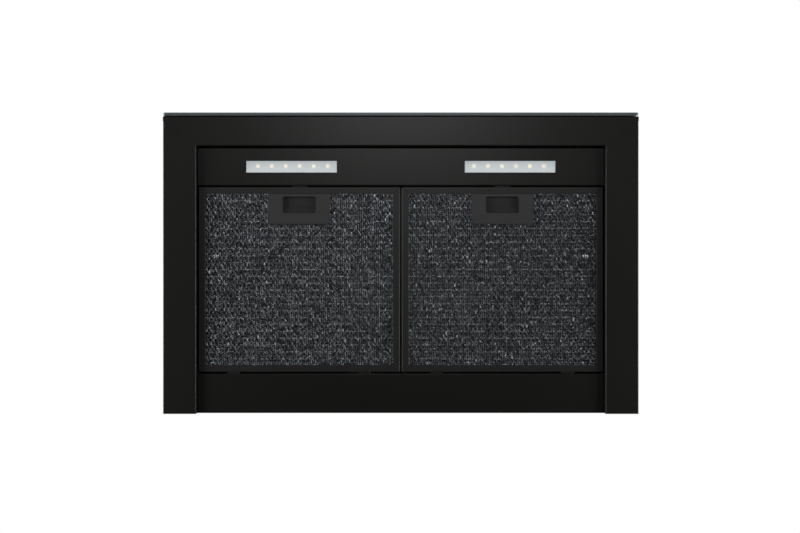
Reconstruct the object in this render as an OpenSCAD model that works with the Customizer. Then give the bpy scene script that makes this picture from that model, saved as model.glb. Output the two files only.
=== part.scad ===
/* [Canopy] */
// Width of the canopy across its side walls
canopy_w = 756; // [750:1:910]
// Depth of the steel canopy, from the wall to the fascia
canopy_d = 473; // [471:1:480]
// Height of the canopy at the wall
canopy_h = 150; // [150:1:165]
// Depth of the flat top that lies against the cabinet
top_d = 305; // [295:1:310]
// Height of the upright front fascia
fascia_h = 60; // [58:1:66]
// Thickness of the steel sheet
sheet = 1; // [0.8:0.1:1]
// Outside radius of the folds in the sheet
fold_r = 1.6; // [1.4:0.1:2]

/* [Underside] */
// Width of the side rails that frame the underside
side_rail_w = 52.5; // [50:0.5:53]
// Depth of the front rail
front_rail_d = 47; // [46:0.5:47.5]
// Height of the lip inside each rail
rail_lip_h = 20; // [18:1:22]
// How far the filters and panels sit above the rails
recess = 8; // [7:0.5:9]
// How far the fascia turns back along each side, which is where the mitre starts
corner_return = 8; // [6:0.5:9]
// Depth of the lamp panel
lamp_panel_d = 60.5; // [60:0.5:61]

/* [Front glass] */
// Thickness of the glass
glass_t = 5; // [4:0.5:6]
// Thickness of the foam tape behind the glass
tape_t = 1; // [0.8:0.1:1.5]

/* [Lamps] */
// Length of a lamp's window
lens_l = 144.5; // [140:0.5:150]
// Width of a lamp's window
lens_w = 18.3; // [16:0.1:20]
// Distance of each lamp from the middle of the hood
lamp_x = 174.7; // [165:0.5:180]
// LEDs on each lamp's board
led_count = 6; // [4:1:6]
// Distance between neighbouring LEDs
led_pitch = 22.6; // [20:0.1:22.6]

/* [Filters] */
// Width of one filter
filter_w = 322; // [320:1:322]
// Depth of one filter, front to back
filter_d = 296; // [294:1:296]
// Thickness of the filter frame
filter_t = 9; // [9:0.5:9.5]
// Width of the frame's face
frame_face = 11; // [10:0.5:12]
// Layers of mesh in one filter
mesh_layers = 5; // [3:1:5]
// Width of the plastic latch
latch_w = 98.5; // [96:0.5:100]
// Length of the plastic latch, front to back
latch_d = 48.3; // [48:0.1:49]
// How far a latch slides back to let its filter go
latch_travel = 6; // [5:0.5:6]

/* [Duct] */
// Outside radius of the collar that the duct slides over
collar_r = 74.5; // [74:0.1:74.5]
// Height of the collar above the top
collar_h = 40; // [36:1:50]
// Distance from the wall to the middle of the collar
collar_from_wall = 125; // [120:1:128]

/* [Blower] */
// Outside radius of the blower wheel
wheel_r = 40; // [38:0.5:40]
// Length of the blower wheel
wheel_l = 150; // [140:1:150]
// Blades around the wheel
blade_count = 36; // [24:1:40]
// Radius of the motor's case
motor_r = 38; // [36:0.5:38]

/* [Hidden] */
$fn = 48;

// The origin is the middle of the four cabinet screws, on the top face. The fascia faces -Y.
half_w = canopy_w / 2;
y_rear = top_d / 2;
y_front = y_rear - canopy_d;
z_bottom = -canopy_h;
z_panel = z_bottom + recess;         // underside of the panels and filters
z_fascia_top = z_bottom + fascia_h;
opening_x = half_w - side_rail_w;    // half the width between the side rails
fold_mid = fold_r - sheet / 2;       // fold radius at the middle of the sheet

// Distances back from the fascia, front to rear
lamp_panel_u = front_rail_d + 2;
filter_u = lamp_panel_u + lamp_panel_d + 2;
rear_rail_u = filter_u + filter_d + 2.5;
function at_depth(u) = y_front + u;

// The slope runs from the top of the fascia to the front edge of the flat top
slope_foot = [y_front, z_fascia_top];
slope_head = [-y_rear, 0];
slope_dir = unit(slope_head - slope_foot);
slope_in = [slope_dir[1], -slope_dir[0]];

steel_black = "#2b2a29";
steel_grey = "#b4b8ba";
plastic_black = "#333333";
aluminium_dark = "#3b3a38";

// ---------- helpers ----------
function unit(v) = v / norm(v);
function left_of(v) = [-v[1], v[0]];
function turned(v, a) = [v[0] * cos(a) - v[1] * sin(a), v[0] * sin(a) + v[1] * cos(a)];

// The points of a round fold at b, on the way from a to c
function fold_points(a, b, c, r, steps) =
    let (
        before = unit(b - a),
        after = unit(c - b),
        turn = atan2(cross(before, after), before * after),
        side = left_of(before) * sign(turn),
        centre = b - before * r * tan(abs(turn) / 2) + side * r
    )
    [for (k = [0:steps]) centre + turned(-side * r, turn * k / steps)];

// A polyline with every inner corner folded to radius r
function folded(p, r, steps = 5) = [
    for (i = [0:len(p) - 1])
        each (i == 0 || i == len(p) - 1) ? [p[i]] : fold_points(p[i - 1], p[i], p[i + 1], r, steps)
];

// The outline of a sheet of thickness t whose middle follows the polyline p
function sheet_outline(p, t) =
    let (
        last = len(p) - 1,
        across = [
            for (i = [0:last])
                let (
                    before = unit(p[max(i, 1)] - p[max(i, 1) - 1]),
                    after = unit(p[min(i, last - 1) + 1] - p[min(i, last - 1)]),
                    along = unit(before + after)
                )
                left_of(along) / (along * before)
        ]
    )
    concat(
        [for (i = [0:last]) p[i] + across[i] * t / 2],
        [for (i = [last:-1:0]) p[i] - across[i] * t / 2]
    );

// A rectangle with rounded corners, centred on the origin
function rounded_rectangle(w, d, r, steps = 5) = [
    for (q = [0:3])
        let (sx = (q == 0 || q == 3) ? 1 : -1, sy = q < 2 ? 1 : -1)
        for (k = [0:steps])
            [sx * (w / 2 - r), sy * (d / 2 - r)] + turned([r, 0], 90 * q + 90 * k / steps)
];

// A folded sheet whose profile lies in Y and Z, from x0 to x1
module fold_along_x(p, x0, x1, r = fold_mid, t = sheet) {
    translate([x0, 0, 0])
        rotate([90, 0, 90])
            linear_extrude(x1 - x0) polygon(sheet_outline(folded(p, r), t));
}

// A folded sheet whose profile lies in X and Z, from y0 to y1
module fold_along_y(p, y0, y1, r = fold_mid, t = sheet) {
    translate([0, y1, 0])
        rotate([90, 0, 0])
            linear_extrude(y1 - y0) polygon(sheet_outline(folded(p, r), t));
}

// A shape drawn in Y and Z and given a thickness from x0 to x1
module slab_yz(x0, x1) {
    translate([x0, 0, 0])
        rotate([90, 0, 90])
            linear_extrude(x1 - x0) children();
}

module box(low, high) {
    translate(low) cube(high - low);
}

module cylinder_x(r, x0, x1) {
    translate([x0, 0, 0])
        rotate([0, 90, 0]) cylinder(r = r, h = x1 - x0);
}

module ring_x(r_in, r_out, x0, x1) {
    difference() {
        cylinder_x(r_out, x0, x1);
        cylinder_x(r_in, x0 - 1, x1 + 1);
    }
}

// A pan-head screw whose head sits on z = 0 and whose shank points down
module screw(shank_l, head_r = 3.5, shank_r = 1.9) {
    difference() {
        union() {
            cylinder(r = head_r, h = 1.2);
            translate([0, 0, 1.2]) cylinder(r1 = head_r, r2 = head_r * 0.6, h = 0.8, $fn = 48);
            translate([0, 0, -shank_l]) cylinder(r = shank_r, h = shank_l);
        }
        for (a = [0, 90])
            rotate([0, 0, a]) box([-head_r * 0.55, -0.4, 0.9], [head_r * 0.55, 0.4, 3]);
    }
}

// A mid-point curve through a route, straight at both ends
function route_curve(p, steps = 5) = concat(
    [p[0]],
    [
        for (i = [1:len(p) - 2])
            let (a = (p[i - 1] + p[i]) / 2, b = (p[i] + p[i + 1]) / 2)
            for (k = [0:steps])
                let (t = k / steps)
                if (i == 1 || k > 0)
                    a * pow(1 - t, 2) + p[i] * 2 * t * (1 - t) + b * pow(t, 2)
    ],
    [p[len(p) - 1]]
);

// A round tube swept along a list of points. `off` is a direction that no stretch runs along
module swept_tube(p, r, off, sides = 8) {
    last = len(p) - 1;
    points = [
        for (i = [0:last])
            let (
                along = unit(p[min(i + 1, last)] - p[max(i - 1, 0)]),
                across = unit(cross(along, off)),
                up = cross(across, along)
            )
            for (k = [0:sides - 1])
                p[i] + r * (across * cos(360 * k / sides) + up * sin(360 * k / sides))
    ];
    walls = [
        for (i = [0:last - 1])
            for (k = [0:sides - 1])
                let (a = i * sides + k, b = i * sides + (k + 1) % sides)
                each [[a, b, b + sides], [a, b + sides, a + sides]]
    ];
    caps = [
        [for (k = [sides - 1:-1:0]) k],
        [for (k = [0:sides - 1]) last * sides + k]
    ];
    polyhedron(points, concat(walls, caps));
}

// ---------- canopy shell ----------
collar_y = y_rear - collar_from_wall;
duct_hole_r = collar_r + 1;
cabinet_screw_x = 330;
cabinet_screw_y = 100;
slot_r = 2.75;
slot_l = 12;
bushing_x = 245;
bushing_y = 115;
bushing_r = 11;

module slot_cutter(l, r, h) {
    translate([0, 0, -h / 2]) {
        translate([-l / 2 + r, -r, 0]) cube([l - 2 * r, 2 * r, h]);
        for (s = [-1, 1])
            translate([s * (l / 2 - r), 0, 0]) cylinder(r = r, h = h);
    }
}

// Where the screws hold the collar to the top, around its middle
collar_screw_spots = [for (a = [45:90:315]) (collar_r + 9.5) * [cos(a), sin(a)] + [0, collar_y]];
mount_plate_w = 190;
mount_plate_d = 170;
mount_screw_spots = [
    for (sx = [-1, 1], sy = [-1, 1])
        [sx * (mount_plate_w / 2 - 8), collar_y + sy * (mount_plate_d / 2 - 6)]
];

module top_panel() {
    color(steel_black)
        difference() {
            box([-half_w, -y_rear, -sheet], [half_w, y_rear, 0]);
            translate([0, collar_y, -5]) cylinder(r = duct_hole_r, h = 10, $fn = 96);
            for (sx = [-1, 1], sy = [-1, 1])
                translate([sx * cabinet_screw_x, sy * cabinet_screw_y, 0])
                    slot_cutter(slot_l, slot_r, 10);
            translate([bushing_x, bushing_y, -5]) cylinder(r = bushing_r + 0.2, h = 10);
            for (p = collar_screw_spots)
                translate([p[0], p[1], -5]) cylinder(r = 2, h = 10);
            for (p = mount_screw_spots)
                translate([p[0], p[1], -5]) cylinder(r = 2, h = 10);
        }
}

// The slope's middle line, and the flange that laps under the top
lap_flange = 14;
slope_mid_foot = slope_foot + slope_in * sheet / 2;
slope_mid_head = slope_mid_foot + slope_dir * ((-1.5 * sheet - slope_mid_foot[1]) / slope_dir[1]);

module sloped_panel() {
    color(steel_black)
        fold_along_x(
            [slope_mid_foot, slope_mid_head, slope_mid_head + [lap_flange, 0]],
            -half_w,
            half_w
        );
}

// The underside mitre runs from the end of the corner return to the inner corner
mitre_outer = [half_w, corner_return];
mitre_inner = [opening_x, front_rail_d];
touch_window_w = 212;
touch_window_h = 34;
touch_z = z_bottom + fascia_h / 2;

module front_fascia() {
    face_y = y_front + sheet / 2;
    under_slope = slope_foot + slope_in * 1.5 * sheet;
    knee = [face_y, under_slope[1] + (face_y - under_slope[0]) * slope_dir[1] / slope_dir[0]];
    profile = [
        knee + slope_dir * 14,
        knee,
        [face_y, z_bottom + sheet / 2],
        [at_depth(front_rail_d) - sheet / 2, z_bottom + sheet / 2],
        [at_depth(front_rail_d) - sheet / 2, z_bottom + rail_lip_h]
    ];
    plan = concat(
        [[-mitre_inner[0], at_depth(mitre_inner[1])], [-mitre_outer[0], at_depth(mitre_outer[1])]],
        fold_points(
            [-half_w, at_depth(corner_return)], [-half_w, y_front], [0, y_front], fold_r, 5
        ),
        fold_points(
            [0, y_front], [half_w, y_front], [half_w, at_depth(corner_return)], fold_r, 5
        ),
        [[mitre_outer[0], at_depth(mitre_outer[1])], [mitre_inner[0], at_depth(mitre_inner[1])]]
    );
    return_top = knee - left_of(slope_dir) * sheet / 2;
    color(steel_black)
        difference() {
            union() {
                intersection() {
                    fold_along_x(profile, -half_w, half_w);
                    translate([0, 0, z_bottom - 1]) linear_extrude(canopy_h) polygon(plan);
                }
                for (s = [-1, 1])
                    intersection() {
                        translate([0, 0, z_bottom + sheet / 2])
                            linear_extrude(fascia_h)
                                polygon(
                                    sheet_outline(
                                        folded(
                                            [
                                                [s * (half_w - 20), face_y],
                                                [s * (half_w - sheet / 2), face_y],
                                                [s * (half_w - sheet / 2), at_depth(corner_return)]
                                            ],
                                            fold_mid
                                        ),
                                        sheet
                                    )
                                );
                        slab_yz(-half_w - 1, half_w + 1)
                            polygon([
                                [y_front - 1, z_bottom - 1],
                                [at_depth(20), z_bottom - 1],
                                return_top + slope_dir * 30,
                                return_top - slope_dir * 2
                            ]);
                    }
            }
            translate([0, y_front, touch_z])
                box(
                    [-touch_window_w / 2, -5, -touch_window_h / 2],
                    [touch_window_w / 2, 5, touch_window_h / 2]
                );
        }
}

// Screws through each inner lip hold the lamp panel and the rear rail
lip_screw_z = z_bottom + 16;
lamp_panel_screw_u = [lamp_panel_u + 14, lamp_panel_u + lamp_panel_d - 14];
rear_rail_screw_u = [rear_rail_u + 14, rear_rail_u + 46];

module lip_screw_holes() {
    for (u = concat(lamp_panel_screw_u, rear_rail_screw_u))
        translate([0, at_depth(u), lip_screw_z]) cylinder_x(2, -opening_x - 5, opening_x + 5);
}

module side_panel(side) {
    wall_x = half_w - sheet / 2;
    lip_x = opening_x + sheet / 2;
    start_u = corner_return + 0.2;
    wall_foot = slope_foot + slope_in * (sheet + 0.02);
    wall_start = wall_foot + slope_dir * ((at_depth(start_u) - wall_foot[0]) / slope_dir[0]);
    wall_head = wall_foot + slope_dir * ((-2.02 * sheet - wall_foot[1]) / slope_dir[1]);
    lap_end = slope_mid_head[0] + lap_flange + 0.2;
    flange_a = slope_foot + slope_in * 1.5 * sheet + slope_dir * 26;
    flange_b = slope_foot + slope_in * 1.5 * sheet + slope_dir * 176;
    mirror([side == "left" ? 0 : 1, 0, 0])
        color(steel_black)
            difference() {
                union() {
                    slab_yz(-half_w, -half_w + sheet)
                        polygon([
                            [at_depth(start_u), z_bottom + 2],
                            wall_start,
                            wall_head,
                            [lap_end, wall_head[1]],
                            [lap_end, -sheet],
                            [y_rear, -sheet],
                            [y_rear, z_bottom + 2]
                        ]);
                    intersection() {
                        fold_along_y(
                            [
                                [-wall_x, z_bottom + 10],
                                [-wall_x, z_bottom + sheet / 2],
                                [-lip_x, z_bottom + sheet / 2],
                                [-lip_x, z_bottom + rail_lip_h]
                            ],
                            at_depth(start_u),
                            y_rear
                        );
                        translate([0, 0, z_bottom - 1])
                            linear_extrude(40)
                                polygon([
                                    [-half_w - 1, at_depth(start_u)],
                                    [-half_w, at_depth(start_u)],
                                    [-opening_x, at_depth(front_rail_d + 0.2)],
                                    [-opening_x + 1, at_depth(front_rail_d + 0.2)],
                                    [-opening_x + 1, y_rear],
                                    [-half_w - 1, y_rear]
                                ]);
                    }
                    box(
                        [-half_w + 0.5, -y_rear + 16, -2 * sheet],
                        [-half_w + 12, y_rear - 16, -sheet]
                    );
                    slab_yz(-half_w + 0.5, -half_w + 12)
                        polygon(sheet_outline([flange_a, flange_b], sheet));
                }
                lip_screw_holes();
                // The lip stops short of the rear panel
                box(
                    [-opening_x - fold_r - 0.2, y_rear - sheet - 0.2, z_panel - 0.2],
                    [-opening_x + 2, y_rear + 1, z_bottom + rail_lip_h + 1]
                );
            }
}

vent_w = 254;
vent_h = 83;
vent_z = -60;
vent_screw_spots = [
    for (sx = [-1, 1], sz = [-1, 1])
        [sx * (vent_w / 2 + 9), vent_z + sz * (vent_h / 2 - 12)]
];
wall_screw_x = 320;
wall_screw_z = -40;

module rear_panel() {
    wall_y = y_rear - sheet / 2;
    color(steel_black)
        difference() {
            union() {
                fold_along_x(
                    [[wall_y, z_panel], [wall_y, -1.5 * sheet], [wall_y - 12, -1.5 * sheet]],
                    -half_w + sheet, half_w - sheet
                );
                for (s = [-1, 1])
                    translate([0, 0, z_panel + 2])
                        linear_extrude(canopy_h - recess - 6)
                            polygon(
                                sheet_outline(
                                    folded(
                                        [
                                            [s * (half_w - 20), wall_y],
                                            [s * (half_w - 1.5 * sheet), wall_y],
                                            [s * (half_w - 1.5 * sheet), wall_y - 12]
                                        ],
                                        fold_mid
                                    ),
                                    sheet
                                )
                            );
            }
            box(
                [-vent_w / 2, y_rear - 5, vent_z - vent_h / 2],
                [vent_w / 2, y_rear + 5, vent_z + vent_h / 2]
            );
            for (p = vent_screw_spots)
                translate([p[0], y_rear + 5, p[1]]) rotate([90, 0, 0]) cylinder(r = 2, h = 10);
            for (s = [-1, 1])
                translate([s * wall_screw_x, y_rear + 5, wall_screw_z])
                    rotate([90, 0, 0]) cylinder(r = 3, h = 10);
        }
}

module rear_vent_cover() {
    color(steel_grey)
        difference() {
            union() {
                box(
                    [-vent_w / 2 - 16, y_rear - 2 * sheet, vent_z - vent_h / 2 - 8],
                    [vent_w / 2 + 16, y_rear - sheet, vent_z + vent_h / 2 + 8]
                );
                for (z = [vent_z - 20, vent_z, vent_z + 20])
                    box(
                        [-vent_w / 2 + 20, y_rear - 2 * sheet - 1.5, z - 3],
                        [vent_w / 2 - 20, y_rear - sheet, z + 3]
                    );
            }
            for (p = vent_screw_spots)
                translate([p[0], y_rear + 5, p[1]]) rotate([90, 0, 0]) cylinder(r = 2, h = 10);
        }
}

// The filter turns about the slots that its two tabs sit in
hinge_y = at_depth(rear_rail_u) + sheet / 2;
hinge_z = z_panel + 3;
tab_t = 1.2;
tab_spots = [-105, 105];
filter_gap = 3;
filter_x = (filter_w + filter_gap) / 2;

module rear_rail() {
    front_y = at_depth(rear_rail_u) + sheet / 2;
    back_y = y_rear - 1.5 * sheet;
    end_x = opening_x - 1.2;
    color(steel_black)
        difference() {
            union() {
                fold_along_x(
                    [
                        [front_y, z_panel + 24],
                        [front_y, z_panel + sheet / 2],
                        [back_y, z_panel + sheet / 2],
                        [back_y, z_panel + 14]
                    ],
                    -end_x, end_x
                );
                for (s = [-1, 1])
                    box(
                        [s * end_x - (s > 0 ? sheet : 0), front_y + 3, z_panel + sheet / 2],
                        [s * end_x + (s > 0 ? 0 : sheet), back_y - 3, z_panel + 12]
                    );
            }
            for (f = [-filter_x, filter_x], t = tab_spots)
                translate([f + t, hinge_y, hinge_z]) box([-12, -2, -1.9], [12, 2, 1.9]);
            lip_screw_holes();
        }
}

lamp_u = lamp_panel_u + lamp_panel_d / 2;
lamp_y = at_depth(lamp_u);

module lamp_panel() {
    front_y = at_depth(lamp_panel_u) + sheet / 2;
    back_y = at_depth(lamp_panel_u + lamp_panel_d) - sheet / 2;
    end_x = opening_x - 1.2;
    color(steel_black)
        difference() {
            union() {
                fold_along_x(
                    [
                        [front_y, z_panel + 14],
                        [front_y, z_panel + sheet / 2],
                        [back_y, z_panel + sheet / 2],
                        [back_y, z_panel + 14]
                    ],
                    -end_x, end_x
                );
                for (s = [-1, 1])
                    box(
                        [s * end_x - (s > 0 ? sheet : 0), front_y + 3, z_panel + sheet / 2],
                        [s * end_x + (s > 0 ? 0 : sheet), back_y - 3, z_panel + 12]
                    );
            }
            for (s = [-1, 1])
                translate([s * lamp_x, lamp_y, z_panel])
                    box(
                        [-lens_l / 2 - 0.2, -lens_w / 2 - 0.2, -5],
                        [lens_l / 2 + 0.2, lens_w / 2 + 0.2, 5]
                    );
            for (s = [-1, 1])
                translate([s * filter_x, back_y, 0])
                    box(
                        [-tongue_w / 2 - 1, -2, tongue_z - 0.3],
                        [tongue_w / 2 + 1, 2, tongue_z + tongue_t + 0.3]
                    );
            lip_screw_holes();
        }
}

// A hat channel above the gap between the two filters
module filter_divider() {
    z = z_panel + filter_t + 0.8 + sheet / 2;
    color(steel_black)
        fold_along_y(
            [[-14, z], [-5, z], [-5, z + 7], [5, z + 7], [5, z], [14, z]],
            at_depth(lamp_panel_u + lamp_panel_d),
            at_depth(rear_rail_u),
            1.2
        );
}

module panel_screws() {
    color(steel_grey) {
        for (s = [-1, 1], u = concat(lamp_panel_screw_u, rear_rail_screw_u))
            translate([s * (opening_x - 1.2 - sheet), at_depth(u), lip_screw_z])
                rotate([0, -s * 90, 0]) screw(6);
        for (p = vent_screw_spots)
            translate([p[0], y_rear - 2 * sheet, p[1]]) rotate([90, 0, 0]) screw(1.9);
        for (x = wiring_cover_screw_x)
            translate([x, wiring_low[1] - 1, wiring_cover_screw_z]) rotate([90, 0, 0]) screw(3);
    }
}

// ---------- front glass and touch control ----------
glass_back = y_front - tape_t;
touch_key_x = [-80, -48, -16, 16, 48, 80];

module front_glass() {
    color("#15181a")
        translate([0, glass_back, z_bottom + (fascia_h - 1) / 2])
            rotate([90, 0, 0])
                linear_extrude(glass_t)
                    polygon(rounded_rectangle(canopy_w, fascia_h - 1, 4, 6));
}

module glass_tape() {
    color("#1c1c1c")
        translate([0, y_front, z_bottom + fascia_h / 2])
            rotate([90, 0, 0])
                linear_extrude(tape_t)
                    difference() {
                        square([canopy_w - 14, fascia_h - 10], center = true);
                        square([touch_window_w + 8, touch_window_h + 6], center = true);
                    }
}

module touch_board() {
    color("#1f5136") {
        box([-100, y_front + sheet + 0.1, touch_z - 14], [100, y_front + sheet + 1.7, touch_z + 14]);
        for (x = touch_key_x)
            translate([x, y_front + sheet + 0.1, touch_z])
                rotate([90, 0, 0]) cylinder(r = 4, h = sheet + tape_t);
        box([-70, y_front + sheet + 1.7, touch_z - 8], [-40, y_front + sheet + 6, touch_z + 6]);
        box([20, y_front + sheet + 1.7, touch_z - 6], [32, y_front + sheet + 8, touch_z + 6]);
    }
}

module touch_board_tray() {
    y0 = y_front + sheet;
    color("#d8d8d4")
        difference() {
            box([-116, y0, touch_z - 20], [116, y0 + 12, touch_z + 20]);
            box([-100, y0 - 1, touch_z - 14], [100, y0 + 10.5, touch_z + 14]);
        }
}

// ---------- lamps ----------
lamp_flange = 3.25;
led_z = z_panel + 13.5;
led_shift = -2.7;

module lamp_lens(side) {
    translate([side * lamp_x, lamp_y, z_panel])
        color("#dfe5e8") {
            box([-lens_l / 2, -lens_w / 2, 0], [lens_l / 2, lens_w / 2, sheet + 1]);
            box(
                [-lens_l / 2 - lamp_flange, -lens_w / 2 - lamp_flange, sheet],
                [lens_l / 2 + lamp_flange, lens_w / 2 + lamp_flange, sheet + 1.2]
            );
        }
}

module lamp_housing(side) {
    outer_l = lens_l / 2 + lamp_flange + 1.5;
    outer_w = lens_w / 2 + lamp_flange + 1.5;
    translate([side * lamp_x, lamp_y, z_panel + sheet])
        color("#e6e6e2")
            difference() {
                union() {
                    difference() {
                        box([-outer_l, -outer_w, 0], [outer_l, outer_w, 17]);
                        box(
                            [-outer_l + 1.2, -outer_w + 1.2, -1],
                            [outer_l - 1.2, outer_w - 1.2, 15.8]
                        );
                    }
                    for (x = [-64, 64])
                        translate([x, led_shift, led_z + 1.2 - z_panel - sheet])
                            cylinder(r = 3, h = 16.5 - (led_z + 1.2 - z_panel - sheet));
                }
                for (s = [-1, 1])
                    translate([0, 0, 11]) cylinder_x(2.3, s * outer_l - 3, s * outer_l + 3);
            }
}

module led_board(side) {
    translate([side * lamp_x, lamp_y + led_shift, led_z]) {
        color("#f2f2ee") box([-70, -7, 0], [70, 7, 1.2]);
        color("#ffe9b0")
            for (i = [0:led_count - 1])
                translate([(i - (led_count - 1) / 2) * led_pitch, 0, 0])
                    box([-1.75, -1.4, -0.7], [1.75, 1.4, 0.1]);
    }
}

// ---------- duct collar and backdraught dampers ----------
collar_wall = 1;
gasket_t = 1;
rod_r = 1.5;
flap_z = 12.5;
flap_t = 1;
flap_r = collar_r - collar_wall - 1.7;
knuckle_r = 2.6;
knuckle_l = 16;
flap_start = knuckle_r + 0.8;
// Where the knuckles sit along the rod, on the front flap. The rear flap's lie between them
front_knuckle_x = [-50, -10, 30];
knuckle_shift = 20;

module duct_collar() {
    inner_r = collar_r - collar_wall;
    ledge_top = flap_z - flap_t / 2 - 0.1 - gasket_t;
    translate([0, collar_y, 0])
        color(steel_grey)
            difference() {
                translate([0, 0, gasket_t])
                    rotate_extrude($fn = 96)
                        polygon([
                            [inner_r, 0],
                            [collar_r + 16, 0],
                            [collar_r + 16, 1.2],
                            [collar_r, 1.2],
                            [collar_r, collar_h - gasket_t],
                            [inner_r, collar_h - gasket_t],
                            [inner_r, ledge_top],
                            [inner_r - 3.5, ledge_top],
                            [inner_r - 3.5, ledge_top - 1.5],
                            [inner_r, ledge_top - 1.5]
                        ]);
                translate([0, 0, flap_z]) cylinder_x(rod_r + 0.1, -collar_r - 5, collar_r + 5);
                for (a = [45:90:315])
                    rotate([0, 0, a]) translate([collar_r + 9.5, 0, -5]) cylinder(r = 2, h = 10);
            }
}

module collar_gasket() {
    translate([0, collar_y, 0])
        color("#4a4a4a")
            difference() {
                cylinder(r = collar_r + 15.5, h = gasket_t, $fn = 96);
                translate([0, 0, -1]) cylinder(r = duct_hole_r, h = 5, $fn = 96);
                for (a = [45:90:315])
                    rotate([0, 0, a]) translate([collar_r + 9.5, 0, -1]) cylinder(r = 2, h = 5);
            }
}

module collar_screws() {
    color(steel_grey)
        for (p = collar_screw_spots)
            translate([p[0], p[1], gasket_t + 1.2]) screw(5.4);
}

module damper_rod() {
    color(steel_grey)
        translate([0, collar_y, flap_z]) cylinder_x(rod_r, -collar_r + 0.5, collar_r - 0.5);
}

// One half-round flap with three knuckles on the rod. towards is -1 for the front flap, 1 for the rear
module damper_flap(towards) {
    knuckle_x = [for (x = front_knuckle_x) x + (towards > 0 ? knuckle_shift : 0)];
    translate([0, collar_y, flap_z])
        color("#9ea2a4")
            difference() {
                union() {
                    intersection() {
                        translate([0, 0, -flap_t / 2]) cylinder(r = flap_r, h = flap_t, $fn = 96);
                        scale([1, towards, 1]) box([-80, flap_start, -2], [80, 80, 2]);
                    }
                    for (x = knuckle_x) {
                        cylinder_x(knuckle_r, x - knuckle_l / 2, x + knuckle_l / 2);
                        scale([1, towards, 1])
                            box(
                                [x - knuckle_l / 2, 0, -flap_t / 2],
                                [x + knuckle_l / 2, flap_start + 1, flap_t / 2]
                            );
                    }
                }
                cylinder_x(rod_r + 0.06, -80, 80);
            }
}

// ---------- blower ----------
scroll_start = 70;
scroll_r0 = wheel_r + 4;
scroll_r1 = wheel_r + 36;
scroll_l = wheel_l + 8;
function scroll_r(a) = scroll_r0 + (scroll_r1 - scroll_r0) * (a - scroll_start) / (360 - scroll_start);
cutoff_y = scroll_r0 * cos(scroll_start);
blower_y = collar_y - (cutoff_y + scroll_r1) / 2;
mount_plate_z = -sheet - 2;
blower_z = mount_plate_z - scroll_r(90) - 2.5;
outlet_top = mount_plate_z - blower_z;

// The middle line of the wrap: down the cut-off, round the wheel and up the back
scroll_path = concat(
    [[cutoff_y, outlet_top - sheet / 2]],
    [for (a = [scroll_start:10:360]) turned([scroll_r(a) + sheet / 2, 0], a)],
    [[scroll_r1 + sheet / 2, outlet_top - sheet / 2]]
);

module at_blower() {
    translate([0, blower_y, blower_z]) children();
}

module blower_mount_plate() {
    color(steel_grey)
        difference() {
            translate([0, collar_y, mount_plate_z])
                linear_extrude(2) polygon(rounded_rectangle(mount_plate_w, mount_plate_d, 6));
            at_blower()
                box(
                    [-scroll_l / 2, cutoff_y, outlet_top - 5],
                    [scroll_l / 2, scroll_r1, outlet_top + 5]
                );
            for (p = concat(mount_screw_spots, collar_screw_spots))
                translate([p[0], p[1], -10]) cylinder(r = 2, h = 12);
        }
}

module blower_scroll() {
    at_blower()
        color(steel_grey)
            slab_yz(-scroll_l / 2, scroll_l / 2) polygon(sheet_outline(scroll_path, sheet));
}

inlet_r = wheel_r - 6.5;
bracket_angles = [30, 150, 270];
bracket_r = motor_r + 10;

// An end plate of the scroll with its rolled inlet ring
module scroll_plate(side) {
    x0 = side > 0 ? scroll_l / 2 : -scroll_l / 2 - sheet;
    at_blower()
        color(steel_grey)
            difference() {
                union() {
                    slab_yz(x0, x0 + sheet)
                        polygon(concat(
                            [[cutoff_y - sheet / 2, outlet_top]],
                            [for (a = [scroll_start:10:360]) turned([scroll_r(a) + sheet, 0], a)],
                            [[scroll_r1 + sheet, outlet_top]]
                        ));
                    mirror([side > 0 ? 0 : 1, 0, 0])
                        cylinder_x(inlet_r + 1.2, scroll_l / 2 - 3, scroll_l / 2 + sheet + 2);
                    if (side > 0)
                        for (a = bracket_angles)
                            rotate([a, 0, 0])
                                box([x0, inlet_r, -9], [x0 + sheet, bracket_r + 10, 9]);
                }
                cylinder_x(inlet_r, -scroll_l, scroll_l);
                if (side > 0)
                    for (a = bracket_angles)
                        rotate([a, 0, 0])
                            translate([0, bracket_r + 5, 0])
                                cylinder_x(2, scroll_l / 2 - 5, scroll_l / 2 + 5);
            }
}

shaft_r = 4;
hub_l = 24;

// Forward-curved blades between two rings and a driven disc in the middle
module blower_wheel() {
    root_r = wheel_r - 7;
    tip_r = wheel_r - 0.4;
    lean = 10;
    blade = [for (k = [0:4]) turned([root_r + (tip_r - root_r) * k / 4, 0], lean * pow(k / 4, 2))];
    at_blower()
        color("#8d9092") {
            difference() {
                union() {
                    for (i = [0:blade_count - 1])
                        slab_yz(-wheel_l / 2 + 0.5, wheel_l / 2 - 0.5)
                            rotate(360 * i / blade_count) polygon(sheet_outline(blade, 0.8));
                    cylinder_x(wheel_r, -1, 1);
                    for (x = [-wheel_l / 2, wheel_l / 2 - 2])
                        ring_x(root_r - 0.5, wheel_r, x, x + 2);
                    cylinder_x(11, -hub_l / 2, hub_l / 2);
                }
                cylinder_x(shaft_r, -hub_l, hub_l);
            }
        }
}

motor_x0 = scroll_l / 2 + 26;
motor_x1 = motor_x0 + 46;
bearing_r = 8;
bearing_l = 6;
core_r = 22;
core_x0 = motor_x0 + 11;
core_x1 = motor_x1 - 10;

module motor_shaft() {
    at_blower()
        color("#c9ccce") cylinder_x(shaft_r, -hub_l / 2 - 3, motor_x1 + 6);
}

module motor_rotor() {
    at_blower()
        color("#8a8a8a") ring_x(shaft_r, core_r, core_x0, core_x1);
}

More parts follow.
